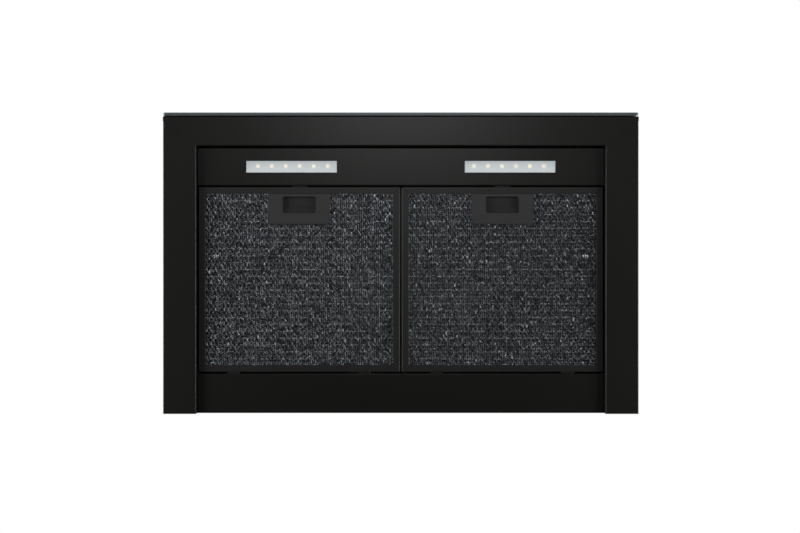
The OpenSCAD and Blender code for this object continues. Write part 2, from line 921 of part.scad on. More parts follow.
module motor_stator() {
    at_blower()
        color("#6f7376")
            difference() {
                cylinder_x(motor_r - 1.3, core_x0, core_x1);
                cylinder_x(core_r + 0.5, core_x0 - 1, core_x1 + 1);
                for (a = [0:60:300])
                    rotate([a, 0, 0])
                        box([core_x0 - 1, core_r + 5, -2.5], [core_x1 + 1, core_r + 11, 2.5]);
            }
}

module motor_windings() {
    at_blower()
        color("#a5552b")
            for (x = [core_x0 - 5.2, core_x1 + 0.2])
                ring_x(core_r + 3, motor_r - 4, x, x + 5);
}

module motor_case() {
    at_blower()
        color(steel_grey)
            difference() {
                union() {
                    cylinder_x(motor_r, motor_x0, motor_x1);
                    cylinder_x(bearing_r + 2.5, motor_x0 - 4, motor_x0 + 5);
                }
                difference() {
                    cylinder_x(motor_r - 1.2, motor_x0 + 1.2, motor_x1 + 1);
                    cylinder_x(bearing_r + 2.5, motor_x0, motor_x0 + 5);
                }
                cylinder_x(bearing_r, motor_x0 - 1, motor_x0 + 6);
                cylinder_x(shaft_r + 1, motor_x0 - 6, motor_x0);
                for (a = [30:60:330])
                    rotate([a, 0, 0]) box([motor_x0 - 2, 17, -4], [motor_x0 + 3, 30, 4]);
            }
}

module motor_end_cap() {
    at_blower()
        color(steel_grey)
            difference() {
                union() {
                    cylinder_x(motor_r, motor_x1, motor_x1 + 1.5);
                    cylinder_x(bearing_r + 2.5, motor_x1 - 4, motor_x1 + 8);
                }
                cylinder_x(bearing_r, motor_x1 - 5, motor_x1 + 6.5);
                for (a = [30:60:330])
                    rotate([a, 0, 0]) box([motor_x1 - 2, 17, -4], [motor_x1 + 3, 30, 4]);
            }
}

module motor_bearings() {
    at_blower()
        color("#cfd2d4")
            for (x = [motor_x0 - 1, motor_x1 - 2])
                ring_x(shaft_r + 0.05, bearing_r, x, x + bearing_l);
}

// A band round the motor with three legs down to the scroll's end plate
module motor_bracket() {
    band_x = motor_x0 + 18;
    at_blower()
        color(steel_grey)
            difference() {
                union() {
                    ring_x(motor_r, motor_r + 1.5, band_x, band_x + 12);
                    for (a = bracket_angles)
                        rotate([a, 0, 0]) {
                            box([band_x, motor_r + 0.5, -6], [band_x + 12, bracket_r, 6]);
                            box([scroll_l / 2 + sheet, bracket_r - 2, -6], [band_x + 12, bracket_r, 6]);
                            box(
                                [scroll_l / 2 + sheet, bracket_r - 2, -6],
                                [scroll_l / 2 + sheet + 2, bracket_r + 10, 6]
                            );
                        }
                }
                cylinder_x(motor_r, band_x - 1, band_x + 13);
                for (a = bracket_angles)
                    rotate([a, 0, 0])
                        translate([0, bracket_r + 5, 0])
                            cylinder_x(2, scroll_l / 2 - 2, scroll_l / 2 + 6);
            }
}

module blower_screws() {
    color("#c9ccce") {
        for (p = mount_screw_spots)
            translate([p[0], p[1], mount_plate_z]) rotate([180, 0, 0]) screw(2.9);
        at_blower()
            for (a = bracket_angles)
                rotate([a, 0, 0])
                    translate([scroll_l / 2 + sheet + 2, bracket_r + 5, 0])
                        rotate([0, 90, 0]) screw(2.9, 3.2);
    }
}

capacitor_r = 15;
capacitor_at = [-150, 112, -19];

module run_capacitor() {
    translate(capacitor_at)
        color("#e9e6dc") {
            cylinder_x(capacitor_r, 0, 52);
            cylinder_x(6, -3, 0.5);
        }
}

module capacitor_clip() {
    translate(capacitor_at)
        color(steel_grey) {
            difference() {
                union() {
                    ring_x(capacitor_r, capacitor_r + 1, 18, 34);
                    box([18, -8, capacitor_r], [34, 8, -capacitor_at[2] - sheet]);
                    box([18, -26, -capacitor_at[2] - sheet - 1.2], [34, 26, -capacitor_at[2] - sheet]);
                }
                cylinder_x(capacitor_r, 17, 35);
            }
        }
}

// ---------- electrical boxes and wiring ----------
wiring_low = [190, 85, -58];
wiring_high = [300, y_rear - 13, -sheet];
wiring_wall = 1;
wiring_cover_screw_x = [222, 268];
wiring_cover_screw_z = wiring_low[2] + 4;

module wiring_cover_screw_holes() {
    for (x = wiring_cover_screw_x)
        translate([x, wiring_low[1] + 3, wiring_cover_screw_z]) rotate([90, 0, 0]) cylinder(r = 2, h = 6);
}

module wiring_box() {
    wall = [wiring_wall, wiring_wall, -1];
    color(steel_grey)
        difference() {
            union() {
                box(wiring_low, wiring_high);
                for (x = [wiring_low[0] - 9, wiring_high[0]])
                    box([x, 98, -sheet - 1.2], [x + 9, 132, -sheet]);
            }
            box(wiring_low + wall, wiring_high - wall);
            translate([wiring_low[0], 112, -30]) cylinder_x(4, -5, 5);
            translate([wiring_low[0], 130, -12]) cylinder_x(3.6, -5, 5);
            wiring_cover_screw_holes();
        }
}

module wiring_box_cover() {
    color(steel_grey)
        difference() {
            union() {
                box(
                    [wiring_low[0] - 1, wiring_low[1] - 1, wiring_low[2] - 1.2],
                    [wiring_high[0] + 1, wiring_high[1] + 1, wiring_low[2]]
                );
                box(
                    [wiring_low[0] + 20, wiring_low[1] - 1, wiring_low[2] - 1],
                    [wiring_high[0] - 20, wiring_low[1], wiring_low[2] + 8]
                );
            }
            wiring_cover_screw_holes();
        }
}

module terminal_block() {
    color("#ece9e0")
        difference() {
            box([205, 128, -50], [275, wiring_high[1] - 1, -32]);
            for (i = [0:3])
                translate([213 + 18 * i, 134, -52]) cylinder(r = 3, h = 10);
        }
}

module cable_bushing() {
    translate([bushing_x, bushing_y, 0])
        color(plastic_black)
            difference() {
                union() {
                    cylinder(r = bushing_r + 3, h = 3);
                    translate([0, 0, -8]) cylinder(r = bushing_r, h = 9);
                    translate([0, 0, -5.2]) cylinder(r = bushing_r + 3, h = 4.2);
                }
                translate([0, 0, -9]) cylinder(r = 6.5, h = 14);
            }
}

control_low = [-300, 88, -58];
control_high = [-190, y_rear - 13, -sheet];

module control_box() {
    wall = 1.8;
    color("#e2e0d8")
        difference() {
            box(control_low, control_high);
            box(control_low + [wall, wall, wall], control_high - [wall, wall, wall]);
            translate([control_low[0], 112, -30]) cylinder_x(4.4, -5, 5);
            translate([control_high[0], 130, -12]) cylinder_x(3.6, -5, 5);
        }
}

module control_board() {
    z = control_low[2] + 6;
    color("#1f5136") {
        box([control_low[0] + 5, 93, z], [control_high[0] - 5, 136, z + 1.6]);
        box([-290, 98, z + 1.6], [-262, 126, z + 26]);
        box([-250, 98, z + 1.6], [-232, 112, z + 18]);
        box([-228, 98, z + 1.6], [-210, 112, z + 18]);
        translate([-245, 128, z + 1.5]) cylinder(r = 6, h = 20);
        for (x = [-232, -222, -212])
            translate([x, 130, z + 1.5]) cylinder(r = 3.5, h = 9);
        for (p = [[-292, 96], [-292, 133], [-198, 96], [-198, 133]])
            translate([p[0], p[1], control_low[2] + 1.8]) cylinder(r = 2.5, h = 4.5);
    }
}

// The routes of the fixed leads: wiring box to motor, wiring box to control box, control box to
// the left lamp, left lamp to right lamp, and control box to touch board
lamp_lead_z = z_panel + sheet + 11;
lead_routes = [
    [
        [192, 112, -30], [176, 112, -30], [156, 96, -34], [150, 62, -42], [144, 34, -46],
        [141, blower_y + motor_r + 0.6, -48]
    ],
    [
        [192, 130, -12], [176, 131, -12], [160, 138, -9], [60, 138, -8], [-60, 138, -8],
        [-160, 138, -9], [-176, 131, -12], [-192, 130, -12]
    ],
    [
        [-298, 109.8, -30], [-312, 109.8, -30], [-346, 102, -40], [-352, 60, -80], [-352, -60, -112],
        [-352, -190, -116], [-346, -236, -116], [-318, lamp_y, -118], [-282, lamp_y, lamp_lead_z],
        [-251, lamp_y, lamp_lead_z]
    ],
    [
        [-99, lamp_y, lamp_lead_z], [-80, lamp_y, lamp_lead_z], [-40, lamp_y - 6, lamp_lead_z + 4],
        [40, lamp_y - 6, lamp_lead_z + 4], [80, lamp_y, lamp_lead_z], [99, lamp_y, lamp_lead_z]
    ],
    [
        [-298, 114.2, -30], [-316, 114.2, -31], [-356, 112, -44], [-361, 60, -76], [-361, -60, -106],
        [-361, -200, -108], [-352, -280, -108], [-300, -300, -112], [-180, -303, -116],
        [-140, -312, -118], [-116.2, -313, -118]
    ]
];
lead_radii = [3, 2.6, 1.8, 1.8, 1.8];

module wiring_harness() {
    color("#d9d9d6")
        for (i = [0:len(lead_routes) - 1])
            swept_tube(route_curve(lead_routes[i]), lead_radii[i], [0.35, 0.5, 1]);
}

// ---------- filters ----------
frame_wall = 0.8;
tongue_w = 24;
tongue_t = 2;
tongue_z = z_panel + 3.3;
latch_front = frame_face + 0.2;
latch_wall = 1.2;
bezel_t = 2.8;
window_w = 53.4;
window_d = 26.5;
window_front = 15.4;
latch_corner_r = 5;
slider_front = latch_front + latch_wall + 0.5;
slider_back = latch_front + latch_d - latch_wall - latch_travel - 5.3;
step_at = 33.4;

// A filter is drawn with its front edge on y = 0, its middle on x = 0 and its underside on z = 0
module at_filter(side) {
    translate([side * filter_x, at_depth(filter_u), z_panel]) children();
}

// One frame rail of length l along X, mitred at both ends, opening towards +Y
module frame_rail(l) {
    edge = 0.8;
    intersection() {
        slab_yz(-l / 2, l / 2)
            polygon([
                [edge, 0], [frame_face, 0], [frame_face, frame_wall], [frame_wall, frame_wall],
                [frame_wall, filter_t - frame_wall], [frame_face, filter_t - frame_wall],
                [frame_face, filter_t], [edge, filter_t], [0, filter_t - edge], [0, edge]
            ]);
        linear_extrude(filter_t)
            polygon([
                [-l / 2 + 0.1, 0], [l / 2 - 0.1, 0],
                [l / 2 - 0.1 - frame_face, frame_face], [-l / 2 + 0.1 + frame_face, frame_face]
            ]);
    }
}

module filter_frame(side) {
    at_filter(side)
        color(aluminium_dark)
            difference() {
                union() {
                    frame_rail(filter_w);
                    translate([0, filter_d, 0]) mirror([0, 1, 0]) frame_rail(filter_w);
                    for (s = [-1, 1])
                        translate([s * filter_w / 2, filter_d / 2, 0])
                            rotate([0, 0, s * 90]) frame_rail(filter_d);
                    for (t = tab_spots)
                        box(
                            [t - 10, filter_d - 6, hinge_z - z_panel - tab_t / 2],
                            [t + 10, filter_d + 8.5, hinge_z - z_panel + tab_t / 2]
                        );
                }
                box(
                    [-tongue_w / 2 - 0.6, -1, tongue_z - z_panel - 0.3],
                    [tongue_w / 2 + 0.6, 2, tongue_z - z_panel + tongue_t + 0.3]
                );
            }
}

module filter_mesh(side) {
    layer_t = 0.3;
    low = frame_wall + 0.25;
    step = (filter_t - 2 * low - layer_t) / (mesh_layers - 1);
    at_filter(side)
        color("#46484a")
            difference() {
                for (i = [0:mesh_layers - 1])
                    translate([0, 0, low + i * step])
                        box(
                            [-filter_w / 2 + 1.5, 1.5, 0],
                            [filter_w / 2 - 1.5, filter_d - 1.5, layer_t]
                        );
                box([-latch_w / 2 - 0.3, -1, -1], [latch_w / 2 + 0.3, latch_front + latch_d + 0.3, 12]);
                for (t = tab_spots)
                    box([t - 11, filter_d - 7, 1], [t + 11, filter_d, 5]);
            }
}

// The bezel's outline, square at the frame and rounded at its two free corners
bezel_outline = concat(
    [[latch_w / 2, latch_front]],
    fold_points(
        [latch_w / 2, latch_front], [latch_w / 2, latch_front + latch_d],
        [0, latch_front + latch_d], latch_corner_r, 5
    ),
    fold_points(
        [0, latch_front + latch_d], [-latch_w / 2, latch_front + latch_d],
        [-latch_w / 2, latch_front], latch_corner_r, 5
    ),
    [[-latch_w / 2, latch_front]]
);
pocket_z = [bezel_t, filter_t - 1.7];

module latch_body(side) {
    at_filter(side)
        color(plastic_black)
            difference() {
                union() {
                    linear_extrude(filter_t - 0.5) polygon(bezel_outline);
                    for (s = [-1, 1])
                        box(
                            [s * 41 - 6, frame_wall + 0.5, frame_wall + 0.4],
                            [s * 41 + 6, latch_front + 1, filter_t - frame_wall - 0.4]
                        );
                }
                box(
                    [-38, latch_front + latch_wall, pocket_z[0]],
                    [38, latch_front + latch_d - latch_wall, pocket_z[1]]
                );
                translate([0, window_front + window_d / 2, -1])
                    linear_extrude(bezel_t + 2) polygon(rounded_rectangle(window_w, window_d, 4));
                box(
                    [-tongue_w / 2 - 0.6, 0, tongue_z - z_panel - 0.3],
                    [tongue_w / 2 + 0.6, latch_front + 5, tongue_z - z_panel + tongue_t + 0.3]
                );
            }
}

// The finger pulls the step backwards, and the tongue leaves the lamp panel's slot
module latch_slider(side) {
    low = pocket_z[0] + 0.3;
    high = pocket_z[1] - 0.2;
    tongue_low = tongue_z - z_panel;
    at_filter(side)
        color("#2c2c2c")
            difference() {
                union() {
                    box([-30, slider_front, low], [30, slider_back, high]);
                    slab_yz(-tongue_w / 2, tongue_w / 2)
                        polygon([
                            [slider_front + 1, tongue_low], [-5.2, tongue_low],
                            [-5.2, tongue_low + 0.8], [-3.4, tongue_low + tongue_t],
                            [slider_front + 1, tongue_low + tongue_t]
                        ]);
                }
                box([-26, slider_front + 2, low - 1], [26, step_at, low + 2.6]);
                for (y = [step_at + 2.4, step_at + 4.6])
                    box([-24, y, low - 1], [24, y + 0.9, low + 0.4]);
            }
}

spring_r = 1.55;
spring_wire = 0.25;
spring_turns = 7;

module latch_springs(side) {
    length = latch_front + latch_d - latch_wall - slider_back - 2 * spring_wire - 0.1;
    coil = [
        for (k = [0:spring_turns * 10])
            [
                spring_r * cos(36 * k),
                slider_back + spring_wire + 0.05 + length * k / (spring_turns * 10),
                (pocket_z[0] + pocket_z[1]) / 2 + spring_r * sin(36 * k)
            ]
    ];
    at_filter(side)
        color("#c9ccce")
            for (x = [-18, 18])
                translate([x, 0, 0]) swept_tube(coil, spring_wire, [0, 1, 0.05], 4);
}

top_panel();
sloped_panel();
front_fascia();
side_panel("left");  // side_panel_left
side_panel("right");  // side_panel_right
rear_panel();
rear_vent_cover();
rear_rail();
lamp_panel();
filter_divider();
panel_screws();
front_glass();
glass_tape();
touch_board();
touch_board_tray();
lamp_lens(-1);  // lamp_lens_left
lamp_lens(1);  // lamp_lens_right
lamp_housing(-1);  // lamp_housing_left
lamp_housing(1);  // lamp_housing_right
led_board(-1);  // led_board_left
led_board(1);  // led_board_right
duct_collar();
collar_gasket();
collar_screws();
damper_rod();
damper_flap(-1);  // damper_flap_front
damper_flap(1);  // damper_flap_rear
blower_mount_plate();
blower_scroll();
scroll_plate(-1);  // scroll_plate_left
scroll_plate(1);  // scroll_plate_right
blower_wheel();
motor_shaft();
motor_rotor();
motor_stator();
motor_windings();
motor_case();
motor_end_cap();
motor_bearings();
motor_bracket();
blower_screws();
run_capacitor();
capacitor_clip();
wiring_box();
wiring_box_cover();
terminal_block();
cable_bushing();
control_box();
control_board();
wiring_harness();
filter_frame(-1);  // filter_frame_left
filter_frame(1);  // filter_frame_right
filter_mesh(-1);  // filter_mesh_left
filter_mesh(1);  // filter_mesh_right
latch_body(-1);  // latch_body_left
latch_body(1);  // latch_body_right
latch_slider(-1);  // latch_slider_left
latch_slider(1);  // latch_slider_right
latch_springs(-1);  // latch_springs_left
latch_springs(1);  // latch_springs_right
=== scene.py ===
from math import cos, pi, radians, sin

import bmesh
import bpy
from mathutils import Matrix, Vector


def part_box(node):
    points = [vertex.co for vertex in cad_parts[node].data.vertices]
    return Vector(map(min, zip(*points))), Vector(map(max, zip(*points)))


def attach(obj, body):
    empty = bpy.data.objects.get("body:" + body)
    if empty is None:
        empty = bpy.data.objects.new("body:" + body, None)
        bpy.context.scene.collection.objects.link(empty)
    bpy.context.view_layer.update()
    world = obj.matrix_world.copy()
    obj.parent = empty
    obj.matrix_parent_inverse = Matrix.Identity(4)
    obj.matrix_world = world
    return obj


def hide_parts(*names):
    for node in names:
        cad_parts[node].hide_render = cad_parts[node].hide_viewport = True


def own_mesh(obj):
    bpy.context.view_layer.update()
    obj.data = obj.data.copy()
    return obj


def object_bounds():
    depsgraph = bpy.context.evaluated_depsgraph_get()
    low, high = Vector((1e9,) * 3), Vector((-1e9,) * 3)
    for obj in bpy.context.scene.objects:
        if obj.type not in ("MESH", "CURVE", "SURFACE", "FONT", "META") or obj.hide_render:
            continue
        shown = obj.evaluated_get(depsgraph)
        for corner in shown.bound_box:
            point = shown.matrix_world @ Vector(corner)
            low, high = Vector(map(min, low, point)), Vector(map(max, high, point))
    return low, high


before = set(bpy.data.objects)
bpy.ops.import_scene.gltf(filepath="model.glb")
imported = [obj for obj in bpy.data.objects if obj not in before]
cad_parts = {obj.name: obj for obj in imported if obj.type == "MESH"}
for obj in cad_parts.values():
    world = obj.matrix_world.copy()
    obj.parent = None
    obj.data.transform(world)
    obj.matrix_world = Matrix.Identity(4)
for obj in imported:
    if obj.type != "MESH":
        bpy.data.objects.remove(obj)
cad_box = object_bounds()

# ---- Camera ----
# The camera looks straight up at the underside from 1.2 m below the side rails, with the
# front of the hood at the top of the picture and the hood a little above the middle.
rail_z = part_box("side_panel_left")[0].z
hood_width = cad_box[1].x - cad_box[0].x
middle_y = (cad_box[0].y + cad_box[1].y) / 2
distance = 1.2
share_of_picture = 0.595
off_centre_x = -0.0013
off_centre_y = 0.0053
camera_data = bpy.data.cameras.new("camera")
camera_data.sensor_width = 36
camera_data.lens = camera_data.sensor_width * distance * share_of_picture / hood_width
camera = bpy.data.objects.new("camera", camera_data)
camera.location = (off_centre_x, middle_y + off_centre_y, rail_z - distance)
camera.rotation_euler = (pi, 0, 0)
bpy.context.scene.collection.objects.link(camera)
bpy.context.scene.camera = camera
bpy.context.scene.view_settings.view_transform = "Standard"


# ---- Studio ----
# A pale floor far below, white all round to the camera, and large soft lamps: one below the
# front and one low on each side for the underside, others above, in front, behind and beside.
class Socket:
    """A node's output that takes part in sums: each operator adds a Math node to its finish."""

    def __init__(self, finish, output):
        self.finish = finish
        self.output = output

    def math(self, operation, first, second):
        settings = {"operation": operation}
        return self.finish.add("ShaderNodeMath", settings, {0: first, 1: second})

    def __add__(self, other):
        return self.math("ADD", self, other)

    def __sub__(self, other):
        return self.math("SUBTRACT", self, other)

    def __rsub__(self, other):
        return self.math("SUBTRACT", other, self)

    def __mul__(self, other):
        return self.math("MULTIPLY", self, other)

    def __truediv__(self, other):
        return self.math("DIVIDE", self, other)

    def __pow__(self, other):
        return self.math("POWER", self, other)

    def __lt__(self, other):
        return self.math("LESS_THAN", self, other)

    def __gt__(self, other):
        return self.math("GREATER_THAN", self, other)

    def back_and_forth(self, reach):
        return self.math("PINGPONG", self, reach)

    __radd__ = __add__
    __rmul__ = __mul__


class Finish:
    """A finish in the making. What is the same all over is set on the shader's own sockets."""

    def __init__(self, name, **same_all_over):
        self.material = bpy.data.materials.new(name)
        self.material.use_nodes = True
        self.tree = self.material.node_tree
        self.shader = self.tree.nodes["Principled BSDF"]
        for socket, value in same_all_over.items():
            self.shader.inputs[socket.replace("_", " ")].default_value = value
        self.place = self.add("ShaderNodeTexCoord", output="Object")

    def add(self, kind, settings=None, values=None, output=0):
        node = self.tree.nodes.new(kind)
        for name, value in (settings or {}).items():
            setattr(node, name, value)
        for name, value in (values or {}).items():
            self.feed(node.inputs[name], value)
        return Socket(self, node.outputs[output])

    def feed(self, socket, value):
        if isinstance(value, Socket):
            self.tree.links.new(value.output, socket)
        else:
            socket.default_value = value

    def vary(self, **sockets):
        for name, value in sockets.items():
            self.feed(self.shader.inputs[name.replace("_", " ")], value)

    def noise(self, scale, detail=2, stretch=(1, 1, 1)):
        place = self.add("ShaderNodeMapping", {}, {"Vector": self.place, "Scale": stretch})
        values = {"Vector": place, "Scale": scale, "Detail": detail}
        return self.add("ShaderNodeTexNoise", {}, values)

    def cells(self, scale, output="Distance", stretch=(1, 1, 1)):
        place = self.add("ShaderNodeMapping", {}, {"Vector": self.place, "Scale": stretch})
        values = {"Vector": place, "Scale": scale}
        return self.add("ShaderNodeTexVoronoi", {}, values, output)

    def axis(self, name):
        return self.add("ShaderNodeSeparateXYZ", {}, {0: self.place}, name)

    def channel(self, colour, number):
        return self.add("ShaderNodeSeparateColor", {}, {0: colour}, number)

    def between(self, first, second, share):
        """A share of the way between two colours, which are a Mix node's sockets 6 and 7."""
        values = {0: share, 6: (*first, 1), 7: (*second, 1)}
        return self.add("ShaderNodeMix", {"data_type": "RGBA"}, values, 2)

    def bump(self, height, depth):
        self.vary(Normal=self.add("ShaderNodeBump", {}, {"Height": height, "Distance": depth}))


def studio_floor():
    finish = Finish("studio_floor", Roughness=0.9, Emission_Strength=0.7)
    paper = finish.between((0.72, 0.72, 0.71), (0.78, 0.78, 0.77), finish.noise(2))
    finish.vary(Base_Color=paper, Emission_Color=paper)
    dark = finish.add("ShaderNodeBsdfDiffuse", {}, {"Color": (0.05, 0.05, 0.05, 1)}, "BSDF")
    seen = finish.add("ShaderNodeLightPath", output="Is Camera Ray")
    pale = Socket(finish, finish.shader.outputs[0])
    both = finish.add("ShaderNodeMixShader", {}, {0: seen, 1: dark, 2: pale}, "Shader")
    finish.feed(finish.tree.nodes["Material Output"].inputs["Surface"], both)
    return finish.material


floor_z = -1.9
bpy.ops.object.select_all(action="DESELECT")
bpy.ops.mesh.primitive_plane_add(size=16, location=(0, 0, floor_z))
floor = bpy.context.object
floor.name = "studio_floor"
floor.data.materials.append(studio_floor())

world = bpy.data.worlds.new("studio")
bpy.context.scene.world = world
world.use_nodes = True
air = world.node_tree
room = air.nodes["Background"]
room.inputs["Color"].default_value = (1, 0.98, 0.93, 1)
room.inputs["Strength"].default_value = 0.13
white = air.nodes.new("ShaderNodeBackground")
white.inputs["Color"].default_value = (1, 1, 1, 1)
either = air.nodes.new("ShaderNodeMixShader")
light_path = air.nodes.new("ShaderNodeLightPath")
air.links.new(light_path.outputs["Is Camera Ray"], either.inputs[0])
air.links.new(room.outputs[0], either.inputs[1])
air.links.new(white.outputs[0], either.inputs[2])
air.links.new(either.outputs[0], air.nodes["World Output"].inputs["Surface"])


def soft_lamp(name, place, aim, width, height, watts):
    data = bpy.data.lights.new(name, "AREA")
    data.shape = "RECTANGLE"
    data.size = width
    data.size_y = height
    data.energy = watts
    lamp = bpy.data.objects.new(name, data)
    lamp.location = place
    lamp.rotation_euler = (Vector(aim) - Vector(place)).to_track_quat("-Z", "Y").to_euler()
    lamp.visible_camera = False
    bpy.context.scene.collection.objects.link(lamp)


soft_lamp("lamp_below_front", (0, -0.82, -1.72), (0, -0.35, 0), 0.7, 0.5, 4.2)
soft_lamp("lamp_below_left", (-2.7, 0.0, -1.15), (0, -0.1, -0.1), 1.3, 1.3, 58)
soft_lamp("lamp_below_right", (2.7, 0.0, -1.15), (0, -0.1, -0.1), 1.3, 1.3, 54)
soft_lamp("lamp_above", (0.3, -0.5, 2.2), (0, 0, 0), 2.2, 2.2, 60)
soft_lamp("lamp_in_front", (-0.8, -2.4, 0.7), (0, 0, -0.1), 1.6, 1.2, 30)
soft_lamp("lamp_behind", (0.9, 2.2, 1.0), (0, 0, -0.1), 1.6, 1.2, 30)
soft_lamp("lamp_left", (-2.3, 0.3, 0.4), (0, 0, -0.1), 1.4, 1.2, 16)
soft_lamp("lamp_right", (2.3, 0.1, 0.2), (0, 0, -0.1), 1.4, 1.2, 14)


# ---- Steel shell ----
# Folded 1 mm sheet steel: top, slope, fascia with its front rail, side panels with their side
# rails, rear panel, lamp panel and rear rail, all powder-coated satin black after welding.
def satin_black():
    finish = Finish("satin_black", Specular_IOR_Level=0.4)
    cloud = finish.noise(7, 3)
    grain = finish.noise(1500, 2)
    finish.vary(
        Base_Color=finish.between((0.0044, 0.0041, 0.0035), (0.0066, 0.0061, 0.0052), cloud),
        Roughness=0.35 + 0.015 * cloud + 0.04 * grain,
    )
    finish.bump(grain, 0.00003)
    return finish.material


def pick(piece):
    """Selects only this piece and makes it the active one."""
    bpy.ops.object.select_all(action="DESELECT")
    piece.select_set(True)
    bpy.context.view_layer.objects.active = piece


def merged_copy(node, name):
    """The node's own mesh as a new piece, with its loose triangles merged into whole faces."""
    same_point = 0.000002
    same_plane = radians(0.5)
    piece = bpy.data.objects.new(name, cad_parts[node].data.copy())
    bpy.context.scene.collection.objects.link(piece)
    pick(piece)
    bpy.ops.object.mode_set(mode="EDIT")
    bpy.ops.mesh.select_all(action="SELECT")
    bpy.ops.mesh.remove_doubles(threshold=same_point)
    bpy.ops.mesh.dissolve_limited(angle_limit=same_plane)
    bpy.ops.object.mode_set(mode="OBJECT")
    return piece


def apply_modifier(piece, kind, **settings):
    bpy.context.view_layer.objects.active = piece
    modifier = piece.modifiers.new(kind.lower(), kind)
    for name, value in settings.items():
        setattr(modifier, name, value)
    bpy.ops.object.modifier_apply(modifier=modifier.name)


def round_edges(piece, width, segments=2):
    sharp = radians(40)
    apply_modifier(
        piece, "BEVEL", width=width, segments=segments, limit_method="ANGLE",
        angle_limit=sharp, use_clamp_overlap=True,
    )


def finish_piece(piece, body, slot, finish, *nodes):
    """Gives a piece its finish, hangs it on the body it rides on and hides the CAD nodes it
    stands for.
    """
    smooth_below = radians(28)
    pick(piece)
    bpy.ops.object.shade_smooth_by_angle(angle=smooth_below)
    apply_modifier(piece, "WEIGHTED_NORMAL", mode="FACE_AREA", keep_sharp=True)
    piece.data.materials.clear()
    piece.data.materials.append(finish)
    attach(piece, body)
    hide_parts(*nodes)
    return piece


paint = satin_black()
fold_edge = 0.0004
for node in (
    "top_panel", "sloped_panel", "front_fascia", "side_panel_left", "side_panel_right",
    "rear_panel", "rear_rail", "lamp_panel", "filter_divider",
):
    panel = merged_copy(node, "painted_" + node)
    round_edges(panel, fold_edge)
    finish_piece(panel, "root", "satin_black", paint, node)


# ---- Front glass ----
# A 5 mm pane of black-printed toughened glass with rounded corners and a pencil-ground edge
# that shows grey-blue, stuck to the fascia with black foam tape.
def black_glass():
    finish = Finish("black_glass", Coat_Roughness=0.02, IOR=1.5)
    smear = finish.noise(9, 3)
    finish.vary(
        Base_Color=finish.between((0.0030, 0.0032, 0.0035), (0.0044, 0.0046, 0.0050), smear),
        Roughness=0.05 + 0.05 * smear,
        Coat_Weight=0.5 + 0.3 * smear,
    )
    return finish.material


def ground_glass_edge():
    finish = Finish("ground_glass_edge", IOR=1.5)
    grind = finish.noise(900, 2, (4, 1, 1))
    finish.vary(
        Base_Color=finish.between((0.070, 0.084, 0.092), (0.100, 0.116, 0.124), grind),
        Roughness=0.3 + 0.2 * grind,
    )
    finish.bump(grind, 0.00002)
    return finish.material


def foam_tape():
    finish = Finish("foam_tape")
    pores = finish.cells(2500)
    finish.vary(
        Base_Color=finish.between((0.008, 0.008, 0.008), (0.02, 0.02, 0.02), pores),
        Roughness=0.85 + 0.1 * pores,
    )
    finish.bump(pores, 0.0001)
    return finish.material


def edit(piece, faces=None, edges=None):
    """Opens the piece in edit mode with only the faces or edges that pass the test selected."""
    pick(piece)
    bpy.ops.object.mode_set(mode="EDIT")
    bpy.ops.mesh.select_mode(type="FACE" if faces else "EDGE")
    bpy.ops.mesh.select_all(action="DESELECT")
    shape = bmesh.from_edit_mesh(piece.data)
    for part in shape.faces if faces else shape.edges:
        part.select = (faces or edges)(part)
    shape.select_flush_mode()
    bmesh.update_edit_mesh(piece.data)


def edit_done():
    bpy.ops.object.mode_set(mode="OBJECT")
    bpy.ops.object.select_all(action="DESELECT")


def block(name, low, high):
    """A new block from its lowest to its highest corner, with its place in its mesh."""
    bpy.ops.object.select_all(action="DESELECT")
    low, high = Vector(low), Vector(high)
    bpy.ops.mesh.primitive_cube_add(size=1, location=(low + high) / 2, scale=high - low)
    piece = bpy.context.object
    piece.name = name
    settle(piece)
    return piece


def settle(piece):
    """Puts the piece's place, turn and size into its mesh."""
    pick(piece)
    bpy.ops.object.transform_apply(location=True, rotation=True, scale=True)


def joined(pieces, name):
    pick(pieces[0])
    for piece in pieces[1:]:
        piece.select_set(True)
    bpy.ops.object.join()
    pieces[0].name = name
    return pieces[0]


def runs_along(edge, axis):
    along = (edge.verts[1].co - edge.verts[0].co).normalized()
    return abs(along[axis]) > 0.99


corner_r = 0.004
ground_edge = 0.0008
pane = block("glass_pane", *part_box("front_glass"))
edit(pane, edges=lambda edge: runs_along(edge, 1))
bpy.ops.mesh.bevel(offset=corner_r, segments=8)
edit_done()
edit(pane, faces=lambda face: abs(face.normal.y) > 0.99)
bpy.ops.mesh.region_to_loop()
bpy.ops.mesh.bevel(offset=ground_edge, segments=3)
edit_done()
finish_piece(pane, "root", "black_glass", black_glass(), "front_glass")
pane.data.materials.append(ground_glass_edge())
for face in pane.data.polygons:
    face.material_index = 0 if abs(face.normal.y) > 0.99 else 1


def printed_symbol():
    finish = Finish("printed_symbol")
    grain = finish.noise(2000)
    finish.vary(
        Base_Color=finish.between((0.42, 0.43, 0.44), (0.52, 0.53, 0.54), grain),
        Roughness=0.4 + 0.1 * grain,
    )
    return finish.material


ink_thick = 0.00006
ink_wide = 0.0006


def bar(x, z, length, turn):
    """A short printed stroke on the glass, centred on x and z and turned about Y."""
    low = (-length / 2, -ink_thick, -ink_wide / 2)
    piece = block("stroke", low, (length / 2, 0, ink_wide / 2))
    edit(piece, edges=lambda edge: runs_along(edge, 1))
    bpy.ops.mesh.bevel(offset=0.45 * ink_wide, segments=3)
    edit_done()
    piece.rotation_euler = (0, turn, 0)
    piece.location = (x, glass_front, z)
    settle(piece)
    return piece


